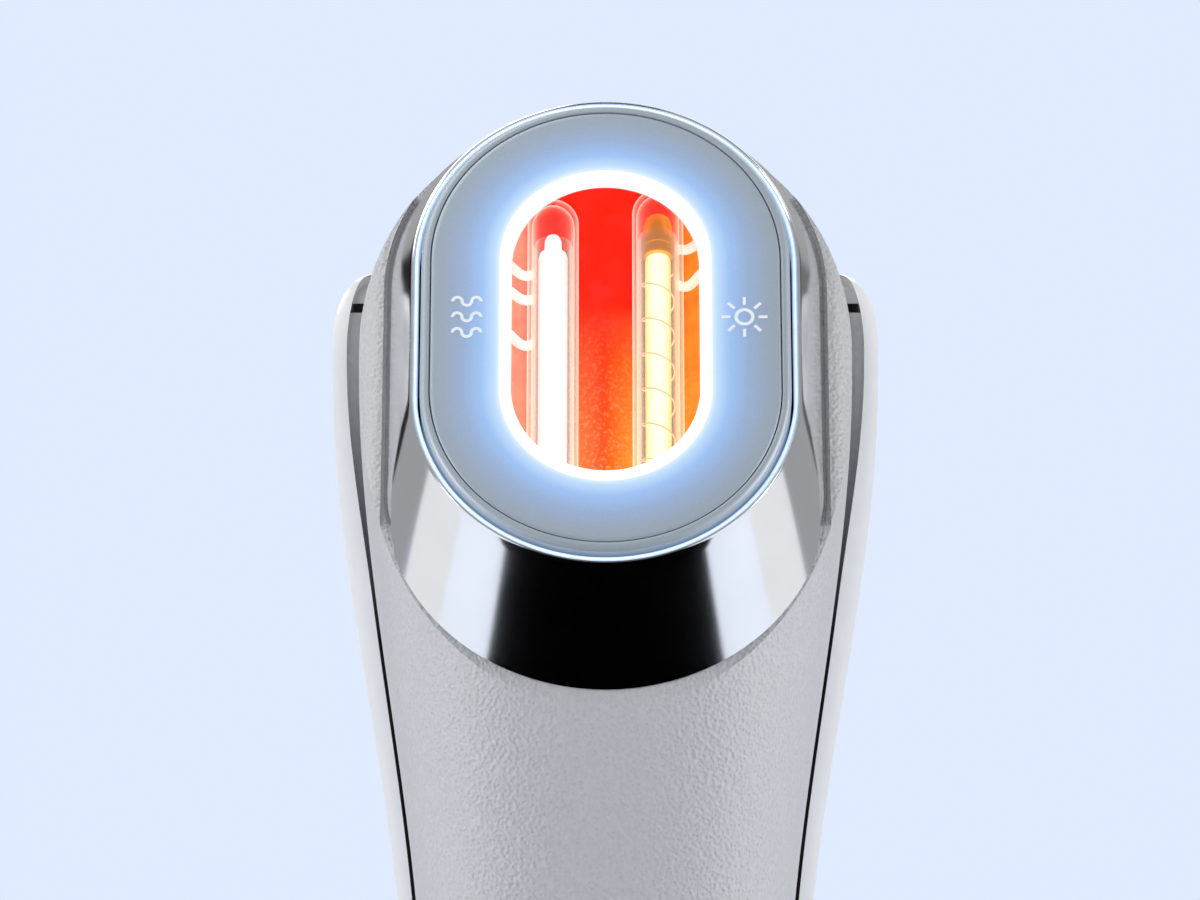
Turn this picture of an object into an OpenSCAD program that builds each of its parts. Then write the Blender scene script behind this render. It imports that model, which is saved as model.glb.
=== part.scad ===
// Pulsed-light hair remover, standing upright on its end cap.
// +Z runs up the grip, -Y is the side that is laid on the skin. Origin: centre of the base.

/* [Body] */
// Half of the rear shell's width across the head
head_half_w = 23; // [22:0.25:25]
// Half of the rear shell's width along the grip
grip_half_w = 17; // [16.5:0.25:19]
// Radius of the domed top of the front shell
dome_r = 20.7; // [20.4:0.1:22]
// Height of the centre of the dome
dome_z = 164.4; // [160:0.2:168]
// Wall of the front shell
wall = 1.6; // [1.2:0.1:2]
// Height of the end cap
cap_h = 5; // [4:0.5:7]

/* [Light head] */
// How far the light window looks up from the horizontal, in degrees
face_tilt = 30.5; // [28:0.5:33]
// Depth of the window's centre ahead of the base's centre
face_y = -15; // [-16:0.25:-14]
// Height of the window's centre
face_z = 166.4; // [165:0.2:168]
// Radius of the round ends of the window
window_r = 7.75; // [7:0.05:8]
// Distance from the window's centre to the centre of each round end
window_half = 6.2; // [5:0.1:6.5]
// Radius of the round ends of the contact plate's rim
rim_r = 15.2; // [15:0.05:15.3]

/* [Controls] */
// Height of the flash button's centre
flash_z = 123; // [120:0.5:126]
// Height of the power button's centre
power_z = 97; // [95:0.5:99]
// Number of level lights
level_count = 5; // [3:1:5]

/* [Power socket] */
// Radius of the socket's bore
socket_r = 2.85; // [2.75:0.05:3]
// Radius of the socket's centre pin
pin_r = 1; // [0.8:0.05:1.25]
// Distance of the socket behind the base's centre
socket_y = 5; // [4:0.5:6]

/* [Hidden] */
$fn = 48;
side_power = 2.8;
side_steps = 48;
mid_y = 2;
seam_y = 1;
seam_top = 171;
seam_turn = 8;
collar_back = -11.2;
collar_front = -0.9;
collar_r = 18.3;
collar_half = 9.9;
collar_wall = 1.4;
frame_r = 14.4;
frame_half = 8.4;
frame_top = -4.8;
frame_back = -16.6;
lamp_x = 4.4;
lamp_w = -9.4;
lamp_bottom = -17.5;
fan_v = -6;
fan_front = -23;
fan_back = -29.5;
board_front = -8.6;
board_back = -7;
key_board_y = 6;
key_top = 9.6;
spring_at = [12.3, 7.5];
boss_at = [13.6, 12.5];
board_holes = [[-7.5, 18], [7.5, 18], [-7.5, 110], [7.5, 110]];
cap_screw_at = [9, -3];
level_z = flash_z - 15.5;

// An S-shaped step from 0 to 1
function ease(t) = let(c = min(max(t, 0), 1)) c * c * (3 - 2 * c);

// The rear shell stands this far outside the core, the form of the front shell
function lip_out(z) = 1.6 + 0.7 * ease((z - 115) / 45);

// Width of the groove between the front shell and the rear shell's lip
function groove(z) = 0.35 + 0.75 * ease((z - 143) / 21);

function core_half_w(z, out) = z <= dome_z
    ? grip_half_w + (head_half_w - grip_half_w) * ease((z - 108) / 54) - lip_out(z) + out
    : (dome_r + out) * sqrt(max(0.0004, 1 - pow((z - dome_z) / (dome_r + out), 2)));

function core_front(z, out) = 14.5 + 5.7 * ease((z - 95) / 45) + 5 * ease((z - 138) / 20)
    + mid_y + out;

function core_back(z, out) = z <= dome_z
    ? 13.2 + 2.3 * ease((z - 100) / 50) - mid_y + out
    : 6.9 + (6.6 + out) * sqrt(max(0, 1 - pow((z - dome_z) / (dome_r + out), 2)));

// Outline of the core at height z, grown outwards by out
function outline(z, out) = [for (i = [0:side_steps - 1])
    let(a = 360 * i / side_steps,
        c = cos(a),
        s = sin(a),
        x = sign(c) * pow(abs(c), 2 / side_power),
        y = sign(s) * pow(abs(s), 2 / side_power))
    [core_half_w(z, out) * x, mid_y + (y > 0 ? core_back(z, out) : core_front(z, out)) * y]];

// Depth of the rear shell's outside at a place on its back
function back_y(x, z) = mid_y + core_back(z, lip_out(z))
    * pow(1 - pow(abs(x) / core_half_w(z, lip_out(z)), side_power), 1 / side_power);

grip_levels = concat([cap_h], [for (z = [20:15:95]) z], [for (z = [101:6:158]) z], [dome_z]);

// Skin between outlines at a list of heights
module loft(levels, out) {
    n = side_steps;
    sides = [for (k = [0:n - 1]) [k, (k + 1) % n, n + (k + 1) % n, n + k]];
    ends = [[for (k = [n - 1:-1:0]) k], [for (k = [0:n - 1]) n + k]];
    for (i = [0:len(levels) - 2])
        hull()
            polyhedron([for (z = [levels[i], levels[i + 1]], p = outline(z, out(z))) [p[0], p[1], z]],
                concat(sides, ends));
}

// The front shell's form with its dome, grown outwards by out
module core(out) {
    dome = [for (a = [12:12:84]) dome_z + (dome_r + out) * sin(a)];
    loft(concat(grip_levels, dome, [dome_z + dome_r + out - 0.01]), function(z) out);
}

// The space ahead of the seam in side view, moved back under the rear shell by shift
module ahead_of_seam(shift) {
    turn_r = seam_turn - shift;
    arc = [for (a = [180:-15:90])
        [seam_y + seam_turn + turn_r * cos(a), seam_top - seam_turn + turn_r * sin(a)]];
    outside = concat([[-60, -5], [seam_y + shift, -5]], arc,
        [[60, seam_top - shift], [60, 240], [-60, 240]]);
    rotate([90, 0, 90])
        translate([0, 0, -60])
            linear_extrude(120)
                polygon(outside);
}

// Puts what follows in the light head's own frame: +Z out of the window, +Y up its length
module on_head() {
    translate([0, face_y, face_z])
        rotate([90 - face_tilt, 0, 0])
            children();
}

// A flat shape with round ends, long in Y
module slot_shape(r, half) {
    square([2 * r, 2 * half], center = true);
    for (side = [-1, 1])
        translate([0, side * half])
            circle(r);
}

// A rectangle with round corners
module round_rect(half_x, half_y, r) {
    square([2 * half_x, 2 * (half_y - r)], center = true);
    square([2 * (half_x - r), 2 * half_y], center = true);
    for (x = [-1, 1], y = [-1, 1])
        translate([x * (half_x - r), y * (half_y - r)])
            circle(r);
}

// A prism on a slot shape between two depths
module slot_block(r, half, back, front) {
    translate([0, 0, back])
        linear_extrude(front - back)
            slot_shape(r, half);
}

// A wall with round ends between two depths
module slot_ring(outer, inner, half, back, front) {
    translate([0, 0, back])
        linear_extrude(front - back)
            difference() {
                slot_shape(outer, half);
                slot_shape(inner, half);
            }
}

// A cylinder along Z between two depths
module rod(r, back, front) {
    translate([0, 0, back])
        cylinder(r = r, h = front - back);
}

// Copies at the four corners of a rectangle
module at_corners(place) {
    for (x = [-1, 1], y = [-1, 1])
        translate([x * place[0], y * place[1], 0])
            children();
}

// A cylinder pointing to the back of the grip, from depth y0 to y1
module back_rod(r, x, z, y0, y1) {
    translate([x, y1, z])
        rotate([90, 0, 0])
            cylinder(r = r, h = y1 - y0);
}

// A block with round ends pointing to the back of the grip
module back_slot(r, half, z, y0, y1) {
    translate([0, y1, z])
        rotate([90, 0, 0])
            linear_extrude(y1 - y0)
                slot_shape(r, half);
}

// What the head's sides are trimmed to, so that they round over towards the collar
module head_trim(out) {
    steps = 4;
    depth = 4.5;
    curve = [for (i = [0:steps]) let(t = i / steps)
        [collar_back + 0.3 - t * depth, 18.6 + out + 2.6 * sqrt(1 - pow(1 - t, 2))]];
    levels = concat(curve, [[-200, curve[steps][1]]]);
    for (i = [0:steps])
        hull()
            for (k = [i, i + 1])
                trim_level(levels[k][0], levels[k][1]);
}

// A thin slice of that outline at one depth, round at the top and open towards the grip
module trim_level(w, r) {
    translate([0, 0, w])
        linear_extrude(0.01) {
            translate([0, collar_half])
                circle(r);
            translate([-r, -200])
                square([2 * r, 200 + collar_half]);
        }
}

// The front shell's outside with the collar's seat cut flat
module front_form(out, seat) {
    intersection() {
        core(out);
        on_head()
            intersection() {
                head_trim(out);
                translate([-60, -200, -200])
                    cube([120, 400, 200 + seat]);
            }
    }
}

module front_shell() {
    color([0.78, 0.79, 0.8]) {
        intersection() {
            difference() {
                front_form(0, collar_back);
                front_form(-wall, 0);
                translate([-30, -60, -1])
                    cube([60, 120, cap_h + 1.01]);
            }
            ahead_of_seam(3);
        }
        intersection() {
            difference() {
                for (place = board_holes)
                    back_rod(2.2, place[0], place[1], -14, board_front);
                for (place = board_holes)
                    back_rod(1, place[0], place[1], board_front - 3.6, board_front + 1);
            }
            core(-0.4);
        }
    }
}

// Takes the rear shell's top edge round
function lip_round(z) = z < 166 ? 0 : 1.7 * (1 - sqrt(max(0, 1 - pow((z - 166) / 5.2, 2))));

lip_levels = concat(grip_levels, [166, 167.5, 169, 170, seam_top]);

module rear_shell() {
    color([0.97, 0.97, 0.98])
        difference() {
            loft(lip_levels, function(z) lip_out(z) - lip_round(z));
            loft(concat([0], lip_levels, [175]), function(z) groove(z));
            ahead_of_seam(0);
            back_slot(6, 5, flash_z, 8, 20);
            back_rod(4.3, 0, power_z, 8, 20);
            for (i = [0:level_count - 1])
                back_rod(0.85, 3 * (i - (level_count - 1) / 2), level_z, 8, 20);
            for (x = [-9:3:9])
                back_vent(x, 147, 13);
            for (x = [-6:3:6])
                back_vent(x, 66, 12);
        }
}

// A tall narrow slot through the back
module back_vent(x, z, tall) {
    for (end = [0, 1])
        back_rod(0.6, x, z + end * tall, 8, 22);
    translate([x - 0.6, 8, z])
        cube([1.2, 14, tall]);
}

module seam_gasket() {
    color([0.2, 0.21, 0.23])
        intersection() {
            difference() {
                loft(lip_levels, function(z) groove(z));
                core(0);
            }
            difference() {
                ahead_of_seam(2.6);
                ahead_of_seam(0.9);
            }
        }
}

module chrome_collar() {
    steps = 5;
    color([0.6, 0.62, 0.65])
        on_head()
            difference() {
                union() {
                    collar_form(0, steps);
                    at_corners(boss_at)
                        rod(1.6, frame_back + 1.6, -5);
                }
                difference() {
                    collar_form(-collar_wall, steps);
                    at_corners(boss_at)
                        rod(1.6, frame_back + 1.6, -5);
                    slot_block(30, 5, -3.6, 2);
                }
                slot_block(rim_r + 0.2, window_half, -12, 2);
                slot_block(rim_r + 0.55, window_half, -2.5, 2);
                at_corners(boss_at)
                    rod(0.98, frame_back, -8);
            }
}

// The collar's cone, grown outwards by out
module collar_form(out, steps) {
    slope = [for (i = [0:steps]) let(t = i / steps)
        [collar_front + t * (collar_back - collar_front) - (out < 0 && i == steps ? 0.5 : 0),
            rim_r + 0.85 + t * (collar_r - rim_r - 0.85) + out,
            window_half + t * (collar_half - window_half)]];
    for (i = [0:steps - 1])
        hull()
            for (k = [i, i + 1])
                slot_block(slope[k][1], slope[k][2], slope[k][0], slope[k][0] + 0.01);
    hull() {
        slot_block(rim_r + 0.85 + out, window_half, collar_front, collar_front + 0.01);
        slot_block(rim_r + 0.65 + out, window_half, collar_front + 0.2, collar_front + 0.21);
    }
}

module halo_guide() {
    color([0.7, 0.85, 1])
        on_head()
            slot_ring(rim_r + 0.5, rim_r + 0.2, window_half, -2.45, -0.75);
}

module contact_plate() {
    color([0.62, 0.66, 0.7])
        on_head()
            slot_ring(rim_r - 0.85, window_r + 0.95, window_half, -1, 0);
}

module plate_rim() {
    color([0.58, 0.62, 0.66])
        on_head() {
            slot_ring(rim_r, rim_r - 0.75, window_half, -3.8, -0.2);
            slot_ring(rim_r - 0.2, rim_r - 0.75, window_half, -0.2, 0);
            slot_ring(rim_r - 0.75, rim_r - 1.6, window_half, -2, -1);
        }
}

module glow_ring() {
    color([0.9, 0.96, 1])
        on_head() {
            slot_ring(window_r + 0.95, window_r, window_half, -1.2, 0.05);
            slot_ring(window_r + 1.85, window_r + 0.95, window_half, -1.2, -1);
            slot_ring(window_r + 3.2, window_r + 1.85, window_half, -2, -1);
        }
}

module window_glass() {
    color([0.95, 0.97, 1, 0.3])
        on_head() {
            slot_block(window_r, window_half, -1.2, -0.3);
            slot_block(window_r + 1.85, window_half, -2.3, -1.2);
        }
}

// Three rising waves of warmth
module heat_mark() {
    color([0.9, 0.92, 0.95])
        on_head()
            for (i = [-1:1])
                translate([-11.4, 0.6 + 1.5 * i, 0])
                    for (k = [-1, 0, 1])
                        translate([0.78 * k, 0, 0])
                            rotate([0, 0, k == 0 ? 180 : 0])
                                rotate_extrude(angle = 180)
                                    translate([0.26, 0])
                                        square([0.26, 0.04]);
}

// A ring with rays, for the flash
module light_mark() {
    rays = 8;
    color([0.9, 0.92, 0.95])
        on_head()
            translate([11.4, 0.6, 0]) {
                rotate_extrude()
                    translate([0.55, 0])
                        square([0.28, 0.04]);
                for (i = [0:rays - 1])
                    rotate([0, 0, 360 * i / rays])
                        translate([1.15, -0.13, 0])
                            cube([0.75, 0.26, 0.04]);
            }
}

module ring_board() {
    color([0.1, 0.35, 0.2])
        on_head()
            slot_ring(rim_r - 1.2, window_r + 2.05, window_half, -2.8, -2);
}

module ring_leds() {
    color([0.95, 0.95, 0.85])
        on_head() {
            for (side = [-1, 1], v = [-5, 0, 5])
                translate([side * 11.7, v, -1.6])
                    cube([1.2, 1.8, 0.8], center = true);
            for (side = [-1, 1], turn = [-60, -30, 0, 30, 60])
                translate([0, side * window_half, 0])
                    rotate([0, 0, side * 90 + turn])
                        translate([11.7, 0, -1.6])
                            cube([1.2, 1.8, 0.8], center = true);
        }
}

module plate_carrier() {
    color([0.3, 0.31, 0.33])
        on_head()
            slot_ring(rim_r - 0.75, window_r + 2.05, window_half, -3.8, -2.8);
}

module switch_stems() {
    color([0.85, 0.2, 0.15])
        on_head()
            for (side = [-1, 1])
                translate([side * spring_at[0], 0, 0])
                    rod(0.6, -6.6, -3.8);
}

module contact_springs() {
    turns = 3;
    color([0.75, 0.76, 0.78])
        on_head()
            at_corners(spring_at)
                translate([0, 0, -9])
                    linear_extrude(height = 5.2, twist = -360 * turns, slices = 12 * turns, $fn = 6)
                        polygon([for (a = [-50, 0, 50]) 1.5 * [cos(a), sin(a)],
                            for (a = [50, 0, -50]) 1.05 * [cos(a), sin(a)]]);
}

module contact_switches() {
    color([0.12, 0.12, 0.13])
        on_head()
            for (side = [-1, 1])
                translate([side * spring_at[0], 0, 0])
                    difference() {
                        translate([-1.6, -3.1, -7.7])
                            cube([3.2, 6.2, 2.9]);
                        rod(0.65, -7.4, -4);
                    }
}

module head_frame() {
    flange_end = 22.6;
    color([0.25, 0.26, 0.28])
        on_head()
            difference() {
                union() {
                    slot_block(frame_r, frame_half, frame_back, frame_top);
                    intersection() {
                        slot_block(frame_r + 2, collar_half, frame_back, frame_back + 1.6);
                        translate([-20, flange_end - 60, frame_back])
                            cube([40, 60, 1.6]);
                    }
                    fan_corners()
                        rod(1.2, fan_front, frame_back);
                }
                translate([0, 0, frame_back - 1])
                    linear_extrude(20)
                        round_rect(9.85, 21.05, 5);
                at_corners(boss_at)
                    rod(1.9, frame_back + 1.6, 0);
                at_corners(boss_at)
                    rod(1, frame_back - 1, 0);
                at_corners(spring_at)
                    rod(1.75, -9, 0);
                for (side = [-1, 1])
                    translate([side * spring_at[0] - 1.7, -3.2, -7.7])
                        cube([3.4, 6.4, 6]);
                for (side = [-1, 1])
                    translate([side * 11.2, 0, 0])
                        rod(0.75, frame_back - 1, frame_back + 3.5);
                fan_corners()
                    rod(0.6, fan_front - 1, fan_front + 4);
            }
}

// Copies at the four corners of the fan
module fan_corners() {
    translate([0, fan_v, 0])
        at_corners([10.4, 10.4])
            children();
}

// A pan-head screw: head from base to base + head_h, shank the other way
module screw(head_r, head_h, shank_r, shank_h) {
    difference() {
        translate([0, 0, -head_h])
            cylinder(r = head_r, h = head_h);
        for (turn = [0, 90])
            rotate([0, 0, turn])
                translate([-head_r * 0.6, -0.2, -head_h - 1])
                    cube([head_r * 1.2, 0.4, 1.4]);
    }
    cylinder(r = shank_r, h = shank_h);
}

module frame_screws() {
    color([0.7, 0.7, 0.72])
        on_head()
            at_corners(boss_at)
                translate([0, 0, frame_back])
                    screw(1.8, 1, 0.93, 7.5);
}

module reflector() {
    color([0.95, 0.2, 0.08])
        on_head()
            difference() {
                translate([0, 0, frame_back])
                    linear_extrude(frame_top - frame_back)
                        round_rect(9.8, 21, 5);
                translate([0, 0, lamp_w - 1])
                    linear_extrude(20)
                        round_rect(8.8, 20, 4);
                intersection() {
                    union() {
                        for (side = [-1, 1])
                            translate([side * lamp_x, 0, lamp_w])
                                rotate([90, 0, 0])
                                    cylinder(r = 4.5, h = 60, center = true);
                        translate([-3, -30, lamp_w - 2.2])
                            cube([6, 60, 5]);
                    }
                    translate([0, 0, frame_back])
                        linear_extrude(20)
                            round_rect(8.8, 20, 4);
                }
                lamp_feet()
                    rod(0.7, frame_back - 1, 0);
            }
}

// Copies at the four lamp leads
module lamp_feet() {
    for (side = [-1, 1], step = [-1.1, 1.1])
        translate([side * lamp_x + step, -18.2, 0])
            children();
}

module lamp_holder() {
    color([0.93, 0.92, 0.88])
        on_head()
            difference() {
                union() {
                    translate([-6.9, -19, -11.5])
                        cube([13.8, 2.8, 4.9]);
                    for (side = [-1, 1])
                        translate([side * lamp_x - 1.9, -18.9, -12.2])
                            cube([3.8, 2.6, 1.2]);
                }
                for (side = [-1, 1])
                    translate([side * lamp_x, -15, lamp_w])
                        rotate([90, 0, 0])
                            cylinder(r = 2.2, h = 2.5);
            }
}

module lamp_leads() {
    color([0.9, 0.9, 0.88])
        on_head()
            lamp_feet()
                rod(0.45, -19.5, -12.2);
}

// A glass tube along the head's length with a round top end
module lamp_bulb(side, top) {
    bulb_r = 2.15;
    glass = 0.35;
    translate([side * lamp_x, 0, lamp_w])
        rotate([-90, 0, 0])
            difference() {
                union() {
                    rod(bulb_r, lamp_bottom, top - bulb_r);
                    translate([0, 0, top - bulb_r])
                        sphere(bulb_r);
                }
                rod(bulb_r - glass, lamp_bottom - 1, top - bulb_r);
                translate([0, 0, top - bulb_r])
                    sphere(bulb_r - glass);
            }
}

module infrared_lamp() {
    color([1, 0.9, 0.88, 0.4])
        on_head()
            lamp_bulb(-1, 17.6);
}

module infrared_filament() {
    color([1, 0.96, 0.93])
        on_head()
            translate([-lamp_x, 0, lamp_w])
                rotate([-90, 0, 0]) {
                    rod(1.2, -17, 12.6);
                    rod(0.7, 12.6, 14.2);
                }
}

module flash_lamp() {
    color([1, 0.9, 0.8, 0.4])
        on_head()
            lamp_bulb(1, 18.6);
}

module flash_tube() {
    color([1, 0.9, 0.5])
        on_head()
            translate([lamp_x, 0, lamp_w])
                rotate([-90, 0, 0])
                    rod(1.15, -17, 12.2);
}

module lamp_electrodes() {
    color([0.9, 0.6, 0.2])
        on_head()
            translate([lamp_x, 0, lamp_w])
                rotate([-90, 0, 0]) {
                    rod(1.3, 12.2, 13.8);
                    rod(0.5, 13.8, 15.6);
                }
}

// A fine wire wound along the flash tube
module trigger_wire() {
    color([0.8, 0.7, 0.5])
        on_head()
            for (v = [-15:3.3:10])
                translate([lamp_x, v, lamp_w])
                    rotate([-90 + 12, 0, 0])
                        rotate_extrude()
                            translate([1.34, 0])
                                circle(0.12, $fn = 16);
}

module heat_sink() {
    fins = 9;
    color([0.72, 0.73, 0.75])
        on_head() {
            difference() {
                translate([-11.4, -17, frame_back - 1.6])
                    cube([22.8, 34, 1.6]);
                fan_corners()
                    rod(1.45, -40, 0);
                for (side = [-1, 1])
                    translate([side * 11.2, 0, 0])
                        rod(0.85, -40, 0);
            }
            for (i = [0:fins - 1])
                translate([-8.4 + i * (16.8 - 0.8) / (fins - 1), -17, frame_back - 5.8])
                    cube([0.8, 34, 4.21]);
        }
}

module sink_screws() {
    color([0.7, 0.7, 0.72])
        on_head()
            for (side = [-1, 1])
                translate([side * 11.2, 0, frame_back - 1.6])
                    screw(1.4, 0.9, 0.7, 4.5);
}

module fan_frame() {
    half = 12;
    color([0.1, 0.1, 0.11])
        on_head()
            translate([0, fan_v, 0])
                difference() {
                    union() {
                        difference() {
                            translate([-half, -half, fan_back])
                                cube([2 * half, 2 * half, fan_front - fan_back]);
                            rod(11.3, fan_back - 1, fan_front + 1);
                        }
                        for (turn = [30, 150, 270])
                            rotate([0, 0, turn])
                                translate([0, -0.7, fan_back + 0.15])
                                    cube([11.7, 1.4, 0.7]);
                        rod(5.4, fan_back + 0.05, fan_back + 0.95);
                        rod(1.2, fan_back + 0.5, fan_front - 1);
                    }
                    at_corners([10.4, 10.4])
                        rod(0.75, fan_back - 1, fan_front + 1);
                }
}

module fan_rotor() {
    blades = 7;
    hub_back = fan_back + 1.2;
    hub_front = fan_front - 0.4;
    color([0.14, 0.14, 0.16])
        on_head()
            translate([0, fan_v, 0])
                difference() {
                    union() {
                        rod(5.2, hub_back, hub_front);
                        for (i = [0:blades - 1])
                            rotate([0, 0, 360 * i / blades])
                                translate([4.6, 0, (hub_back + hub_front) / 2])
                                    rotate([40, 0, 0])
                                        translate([0, -0.35, -2.3])
                                            cube([6, 0.7, 4.6]);
                    }
                    rod(1.25, hub_back - 1, fan_front - 0.8);
                }
}

module fan_screws() {
    color([0.7, 0.7, 0.72])
        on_head()
            fan_corners()
                translate([0, 0, fan_back])
                    screw(1.3, 0.8, 0.58, 10);
}

module chassis() {
    rail_x = 11.2;
    color([0.3, 0.31, 0.33])
        difference() {
            union() {
                for (side = [-1, 1])
                    translate([side * (rail_x + 0.6) - 0.6, board_back, 9])
                        cube([1.2, key_board_y + 1.2 - board_back, 125]);
                translate([-rail_x - 1.2, board_back, 9])
                    cube([2 * rail_x + 2.4, 15.5, 2]);
                for (z = [64, 86])
                    translate([-rail_x, board_back, z])
                        cube([2 * rail_x, 2, 1.2]);
            }
            translate([-5.3, socket_y - 5.3, 8])
                cube([10.6, 10.6, 4]);
            for (side = [-1, 1])
                translate([side * cap_screw_at[0], cap_screw_at[1], 8])
                    cylinder(r = 0.98, h = 4);
        }
}

module main_board() {
    color([0.1, 0.35, 0.2])
        difference() {
            translate([-11, board_front, 14])
                cube([22, board_back - board_front, 114]);
            for (place = board_holes)
                back_rod(1.1, place[0], place[1], board_front - 1, board_back + 1);
        }
}

module board_screws() {
    color([0.7, 0.7, 0.72])
        for (place = board_holes)
            translate([place[0], board_back, place[1]])
                rotate([90, 0, 0])
                    screw(1.9, 1.1, 0.93, 3.9);
}

module control_chips() {
    color([0.08, 0.08, 0.09])
        for (chip = [[-5, 92.5, 7, 4], [4, 93, 9, 5], [0, 116, 10, 6], [-5, 121, 5, 4]])
            translate([chip[0] - chip[2] / 2, board_back, chip[1]])
                cube([chip[2], 1.2, chip[3]]);
}

module storage_capacitor() {
    color([0.75, 0.76, 0.78])
        translate([0, 2, 22]) {
            cylinder(r = 8.2, h = 42);
            for (side = [-1, 1])
                translate([side * 3.8, 0, -4]) {
                    cylinder(r = 0.4, h = 4);
                    rotate([90, 0, 0])
                        cylinder(r = 0.4, h = 9);
                }
        }
}

module capacitor_sleeve() {
    color([0.1, 0.1, 0.14])
        translate([0, 2, 22.6])
            difference() {
                cylinder(r = 8.45, h = 40.6);
                translate([0, 0, -1])
                    cylinder(r = 8.2, h = 43);
            }
}

module transformer_core() {
    color([0.22, 0.21, 0.2])
        translate([0, board_back + 1, 76])
            difference() {
                translate([-8, 0, -7.5])
                    cube([16, 9, 15]);
                translate([-5.5, -1, -5])
                    cube([3, 11, 10]);
                translate([2.5, -1, -5])
                    cube([3, 11, 10]);
            }
}

module transformer_coil() {
    color([0.85, 0.65, 0.2])
        translate([0, board_back, 76])
            difference() {
                translate([-5.4, 0, -4.9])
                    cube([10.8, 11.5, 9.8]);
                translate([-2.5, 1, -5.1])
                    cube([5, 9, 10.2]);
            }
}

module trigger_coil() {
    color([0.15, 0.15, 0.17])
        translate([-4.5, board_back + 5.2, 88.5]) {
            cylinder(r = 4, h = 1);
            cylinder(r = 3.1, h = 13);
            translate([0, 0, 6])
                cylinder(r = 4, h = 1);
            translate([0, 0, 12.5])
                cylinder(r = 4, h = 1);
            for (z = [2, 10])
                translate([0, 0, z])
                    rotate([90, 0, 0])
                        cylinder(r = 0.4, h = 5.2);
        }
}

module choke() {
    color([0.75, 0.45, 0.2])
        translate([0, board_back, 107.5])
            rotate([-90, 0, 0])
                rotate_extrude()
                    translate([3.3, 1.8])
                        circle(1.8);
}

module key_board() {
    color([0.1, 0.35, 0.2])
        translate([-11.2, key_board_y, power_z - 6])
            cube([22.4, 1.2, flash_z - power_z + 14]);
}

module key_switches() {
    color([0.12, 0.12, 0.13])
        for (z = [flash_z, power_z])
            difference() {
                translate([-3, key_board_y + 1.2, z - 3])
                    cube([6, key_top - key_board_y - 1.2, 6]);
                back_rod(1.25, 0, z, key_board_y + 1.8, key_top + 1);
            }
}

module level_leds() {
    color([0.95, 0.95, 0.85])
        for (i = [0:level_count - 1])
            translate([3 * (i - (level_count - 1) / 2), key_board_y + 1.6, level_z])
                cube([1.6, 0.8, 0.8], center = true);
}

module level_pipes() {
    color([0.85, 0.93, 1, 0.6])
        for (i = [0:level_count - 1]) {
            x = 3 * (i - (level_count - 1) / 2);
            back_rod(0.82, x, level_z, key_board_y + 2.2, back_y(x, level_z) + 0.05);
        }
    color([0.85, 0.93, 1, 0.6])
        translate([-7.5, key_board_y + 3, level_z - 0.5])
            cube([15, 1, 1]);
}

module flash_button() {
    color([0.8, 0.82, 0.84])
        difference() {
            union() {
                back_slot(5.7, 5, flash_z, 12.6, 16.3);
                back_slot(6.8, 5, flash_z, 12.6, 13.6);
                back_rod(2.2, 0, flash_z, key_top + 1.3, 13);
            }
            translate([0, 16.1 + 22, flash_z])
                sphere(22, $fn = 96);
        }
}

module flash_stem() {
    color([0.85, 0.2, 0.15])
        back_rod(1.2, 0, flash_z, 8.6, key_top + 1.3);
}

module power_button() {
    color([0.8, 0.82, 0.84])
        difference() {
            union() {
                back_rod(4, 0, power_z, 12, 15.2);
                back_rod(5, 0, power_z, 12, 13);
                back_rod(1.8, 0, power_z, key_top + 1, 12.5);
            }
            translate([0, 15.1, power_z])
                rotate([-90, 0, 0])
                    cylinder(r = 2.6, h = 1);
        }
}

module power_stem() {
    color([0.85, 0.2, 0.15])
        back_rod(1.2, 0, power_z, 8.6, key_top + 1);
}

module end_cap() {
    foot = 1;
    color([0.95, 0.95, 0.96])
        difference() {
            union() {
                linear_extrude(foot)
                    polygon(outline(0, 0.9));
                translate([0, 0, foot])
                    linear_extrude(cap_h - foot)
                        polygon(outline(0, lip_out(0)));
                translate([0, 0, cap_h])
                    linear_extrude(4)
                        polygon(outline(0, -wall - 0.2));
            }
            translate([0, 0, 2.6])
                linear_extrude(9)
                    polygon(outline(0, -wall - 1.8));
            translate([0, socket_y, -1])
                cylinder(r = 3.4, h = 5);
            for (side = [-1, 1])
                translate([side * cap_screw_at[0], cap_screw_at[1], -1]) {
                    cylinder(r = 1.05, h = 12);
                    cylinder(r = 2.1, h = 2.2);
                }
        }
    for (side = [-1, 1])
        color([0.95, 0.95, 0.96])
            translate([side * cap_screw_at[0], cap_screw_at[1], 2.6])
                difference() {
                    cylinder(r = 2.4, h = 6.4);
                    translate([0, 0, -1])
                        cylinder(r = 1.05, h = 9);
                }
}

module cap_screws() {
    color([0.7, 0.7, 0.72])
        for (side = [-1, 1])
            translate([side * cap_screw_at[0], cap_screw_at[1], 1.2])
                screw(1.9, 1, 0.93, 9.6);
}

module power_socket() {
    color([0.1, 0.1, 0.11])
        difference() {
            translate([-5, socket_y - 5, 2.6])
                cube([10, 9.2, 12.4]);
            translate([0, socket_y, 2])
                cylinder(r = socket_r, h = 9);
            translate([0, socket_y, 10])
                cylinder(r = 0.6, h = 4);
        }
}

module socket_pin() {
    color([0.85, 0.86, 0.88])
        translate([0, socket_y, 3.4])
            cylinder(r = pin_r, h = 7.6);
}

module socket_contacts() {
    color([0.85, 0.75, 0.4])
        for (x = [-3.4, 0, 3.4])
            translate([x - 0.6, socket_y - 0.2, 15])
                cube([1.2, 0.4, 3]);
}

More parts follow.
